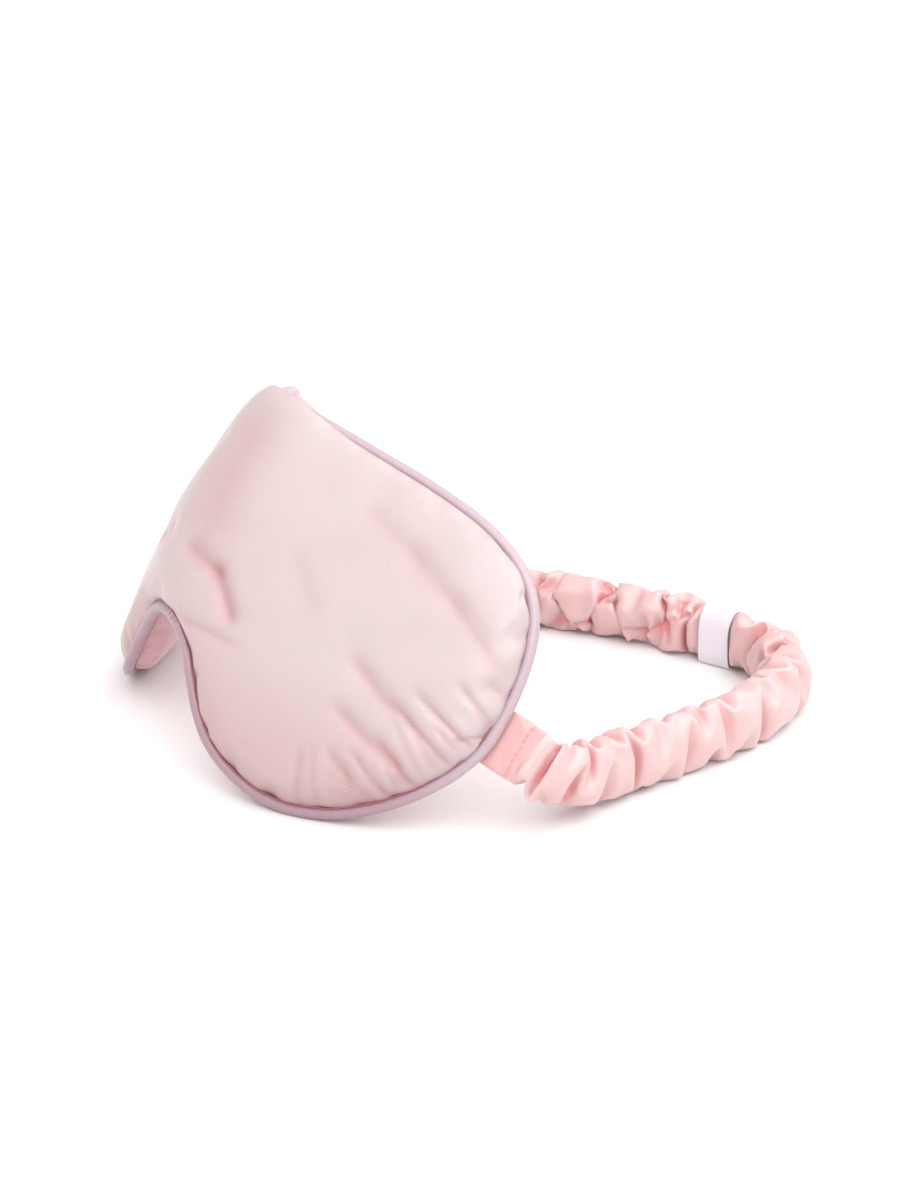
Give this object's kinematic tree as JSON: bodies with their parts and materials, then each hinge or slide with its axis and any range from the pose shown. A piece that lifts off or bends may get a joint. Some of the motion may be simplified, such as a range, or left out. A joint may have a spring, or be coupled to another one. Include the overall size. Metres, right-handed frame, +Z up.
{
  "type": "sleep eye mask",
  "caption": "Contoured padded sleep eye mask with corded piping, a deep nose notch and a gathered elastic head strap, folded at the nose and leaning back.",
  "frame": {"origin": "on the surface that the mask stands on, in the middle of the floor that it covers", "axes": "+X across the face from lobe to lobe, +Y from the mask towards the back of the strap, +Z up"},
  "size_m": [0.1982, 0.1763, 0.0947],
  "materials": {
    "front_satin": "very pale pink satin with a soft sheen and fine weave",
    "back_satin": "pink satin, a little deeper than the front",
    "wadding": "soft white fibre wadding",
    "lining": "dense matt black light-blocking cloth",
    "piping_satin": "lilac-pink satin bias strip",
    "cotton_cord": "twisted cotton cord",
    "thread": "dusky rose sewing thread",
    "strap_satin": "glossy salmon-pink satin, gathered",
    "elastic": "white knitted elastic band",
    "label_ribbon": "white satin ribbon, blank",
    "label_sewing": "pale sewing thread"
  },
  "bodies": {
    "mask": {"front_panel": "front_satin", "back_panel": "back_satin", "front_wadding": "wadding", "back_wadding": "wadding", "blackout_lining": "lining", "piping_cover": "piping_satin", "piping_cord": "cotton_cord", "edge_thread": "thread", "tab_right": "strap_satin", "tab_left": "strap_satin", "tab_thread_right": "thread", "tab_thread_left": "thread"},
    "strap_sides": {"strap_cover_right": "strap_satin", "strap_cover_left": "strap_satin", "elastic_right": "elastic", "elastic_left": "elastic"},
    "strap_back": {"strap_cover_back": "strap_satin", "elastic_back": "elastic", "label": "label_ribbon", "label_thread": "label_sewing"}
  },
  "joints": [
    {"name": "strap_swing", "type": "hinge", "parent": "mask", "child": "strap_sides", "pos_m": [0, -0.0253, 0.023], "axis": [1, 0, 0], "range_deg": [0, 50], "deforming": ["tab_right", "tab_left"]},
    {"name": "strap_stretch", "type": "slide", "parent": "strap_sides", "child": "strap_back", "axis": [0, 1, 0], "range_m": [0, 0.06], "stiffness_N_per_m": 60, "deforming": ["strap_cover_right", "strap_cover_left", "elastic_right", "elastic_left"]}
  ]
}
